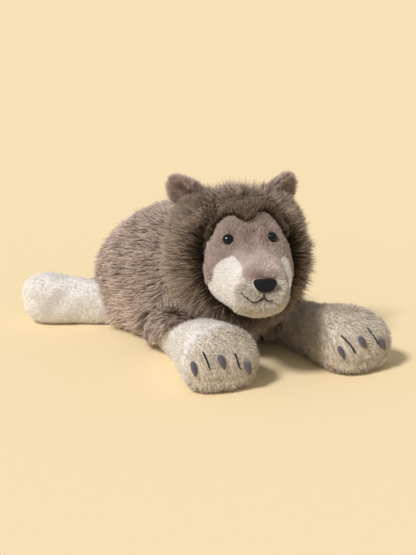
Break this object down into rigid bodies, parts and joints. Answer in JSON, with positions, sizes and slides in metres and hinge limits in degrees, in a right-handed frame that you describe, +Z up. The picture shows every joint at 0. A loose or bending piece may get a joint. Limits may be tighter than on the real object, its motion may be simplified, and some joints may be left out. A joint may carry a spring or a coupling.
{
  "type": "plush wolf",
  "caption": "Soft plush wolf lying on its belly with its head up, with a shaggy hood of pile round a short-piled face, stuffed legs and a stuffed tail.",
  "frame": {"origin": "on the surface that it lies on, under the middle of the body", "axes": "+Z up, -Y the way that the body points, +X the wolf's own left"},
  "size_m": [0.32, 0.4486, 0.193],
  "materials": {
    "long_pile_brown": "long mauve-brown plush pile, darker at the root",
    "mane_pile_brown": "long dark brown plush pile with pale tips",
    "short_pile_mauve": "short mauve-brown plush pile",
    "plush_cream": "short smooth cream plush pile",
    "curly_pile_beige": "shaggy beige plush pile",
    "ear_lining_mauve": "short pile in the ear",
    "stuffing_fibre": "loose polyester fibre",
    "pouch_cloth": "woven pouch of plastic pellets",
    "gusset_cloth": "plain knitted backing",
    "eye_plastic": "polished black dome",
    "washer_plastic": "plain moulded washer",
    "claw_satin": "grey satin stitch",
    "black_thread": "matt black embroidery thread"
  },
  "bodies": {
    "body": {"back_cover": "long_pile_brown", "belly_panel": "plush_cream", "body_stuffing": "stuffing_fibre", "pellet_pouch": "pouch_cloth"},
    "neck": {"neck_gusset": "gusset_cloth"},
    "head": {"hood": "mane_pile_brown", "face_mask": "short_pile_mauve", "cheeks_and_chin": "plush_cream", "muzzle": "curly_pile_beige", "head_stuffing": "stuffing_fibre", "eye_left": "eye_plastic", "eye_washer_left": "washer_plastic", "eye_right": "eye_plastic", "eye_washer_right": "washer_plastic", "nose": "black_thread", "mouth_stitch": "black_thread"},
    "ear_left": {"ear_back_left": "long_pile_brown", "ear_lining_left": "ear_lining_mauve"},
    "ear_right": {"ear_back_right": "long_pile_brown", "ear_lining_right": "ear_lining_mauve"},
    "foreleg_left": {"foreleg_sleeve_left": "plush_cream", "paw_top_left": "curly_pile_beige", "paw_sole_left": "curly_pile_beige", "foreleg_stuffing_left": "stuffing_fibre", "claw_left_1": "claw_satin", "claw_left_2": "claw_satin", "claw_left_3": "claw_satin", "toe_stitch_left_1": "black_thread", "toe_stitch_left_2": "black_thread"},
    "foreleg_right": {"foreleg_sleeve_right": "plush_cream", "paw_top_right": "curly_pile_beige", "paw_sole_right": "curly_pile_beige", "foreleg_stuffing_right": "stuffing_fibre", "claw_right_1": "claw_satin", "claw_right_2": "claw_satin", "claw_right_3": "claw_satin", "toe_stitch_right_1": "black_thread", "toe_stitch_right_2": "black_thread"},
    "hindleg_left": {"hindleg_cover_left": "plush_cream", "foot_top_left": "curly_pile_beige", "hindleg_stuffing_left": "stuffing_fibre"},
    "hindleg_right": {"hindleg_cover_right": "plush_cream", "foot_top_right": "curly_pile_beige", "hindleg_stuffing_right": "stuffing_fibre"},
    "tail": {"tail_cover": "long_pile_brown", "tail_stuffing": "stuffing_fibre"}
  },
  "joints": [
    {"name": "head_turn", "type": "hinge", "parent": "body", "child": "neck", "pos_m": [-0.007, -0.115, 0.106], "axis": [0, 0, 1], "range_deg": [-18, 64], "stiffness_Nm_per_rad": 0.3},
    {"name": "head_nod", "type": "hinge", "parent": "neck", "child": "head", "pos_m": [-0.007, -0.115, 0.106], "axis": [0.9205, -0.3907, 0], "range_deg": [-18, 4], "stiffness_Nm_per_rad": 1.2, "springref_deg": -1.43},
    {"name": "ear_left_fold", "type": "hinge", "parent": "head", "child": "ear_left", "pos_m": [0.03913, -0.11912, 0.16448], "axis": [0.7795, 0.1698, -0.6029], "range_deg": [-25, 25], "stiffness_Nm_per_rad": 0.02},
    {"name": "ear_right_fold", "type": "hinge", "parent": "head", "child": "ear_right", "pos_m": [-0.04201, -0.08468, 0.16448], "axis": [0.4194, -0.6787, 0.6029], "range_deg": [-25, 25], "stiffness_Nm_per_rad": 0.02},
    {"name": "foreleg_left_swing", "type": "hinge", "parent": "body", "child": "foreleg_left", "pos_m": [0.05833, -0.09784, 0], "axis": [0, 0, 1], "range_deg": [-3, 45], "stiffness_Nm_per_rad": 0.05},
    {"name": "foreleg_right_swing", "type": "hinge", "parent": "body", "child": "foreleg_right", "pos_m": [-0.05833, -0.06216, 0], "axis": [0, 0, 1], "range_deg": [-45, 3], "stiffness_Nm_per_rad": 0.05},
    {"name": "hindleg_left_swing", "type": "hinge", "parent": "body", "child": "hindleg_left", "pos_m": [0.056, 0.041, 0], "axis": [0, 0, 1], "range_deg": [-22, 8], "stiffness_Nm_per_rad": 0.05},
    {"name": "hindleg_right_swing", "type": "hinge", "parent": "body", "child": "hindleg_right", "pos_m": [-0.056, 0.041, 0], "axis": [0, 0, 1], "range_deg": [-8, 22], "stiffness_Nm_per_rad": 0.05},
    {"name": "tail_swing", "type": "hinge", "parent": "body", "child": "tail", "pos_m": [0, 0.112, 0], "axis": [0, 0, 1], "range_deg": [-30, 30], "stiffness_Nm_per_rad": 0.02}
  ]
}
